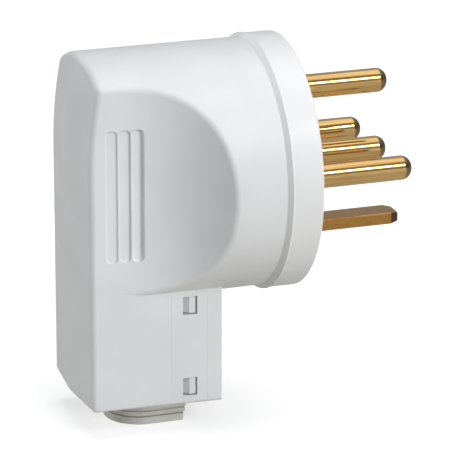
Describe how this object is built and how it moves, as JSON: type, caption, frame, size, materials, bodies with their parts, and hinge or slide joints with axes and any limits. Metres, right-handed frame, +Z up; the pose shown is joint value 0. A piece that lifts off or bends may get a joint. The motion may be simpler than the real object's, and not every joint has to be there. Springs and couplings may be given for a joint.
{
  "type": "industrial plug",
  "caption": "Multi-pole power plug with round brass pins, a flat earth pin, a flat handle with finger coves and a side cable outlet.",
  "frame": {"origin": "centre of the flat front face that meets the socket, on the axis of the neutral pin", "axes": "+X along the pins towards their tips, +Y across the plug, +Z up, away from the cable outlet"},
  "size_m": [0.0853, 0.0632, 0.0942],
  "materials": {
    "housing": "satin moulded",
    "lid": "satin moulded",
    "carrier": "satin moulded",
    "inner_plastic": "moulded",
    "turned_brass": "turned, lightly tarnished",
    "sheared_brass": "sheared edges, lightly tarnished",
    "grommet": "matt",
    "screws": "zinc plated"
  },
  "bodies": {
    "root": {"housing": "housing", "front_lid": "lid", "pin_carrier": "carrier", "retaining_plate": "inner_plastic", "phase_pin_left": "turned_brass", "phase_pin_top": "turned_brass", "phase_pin_right": "turned_brass", "neutral_pin": "turned_brass", "earth_pin": "sheared_brass", "earth_terminal": "sheared_brass", "cable_grommet": "grommet", "clamp_bridge": "inner_plastic", "terminal_screws": "screws", "retainer_screws": "screws", "housing_screws": "screws", "clamp_screws": "screws"}
  },
  "joints": []
}
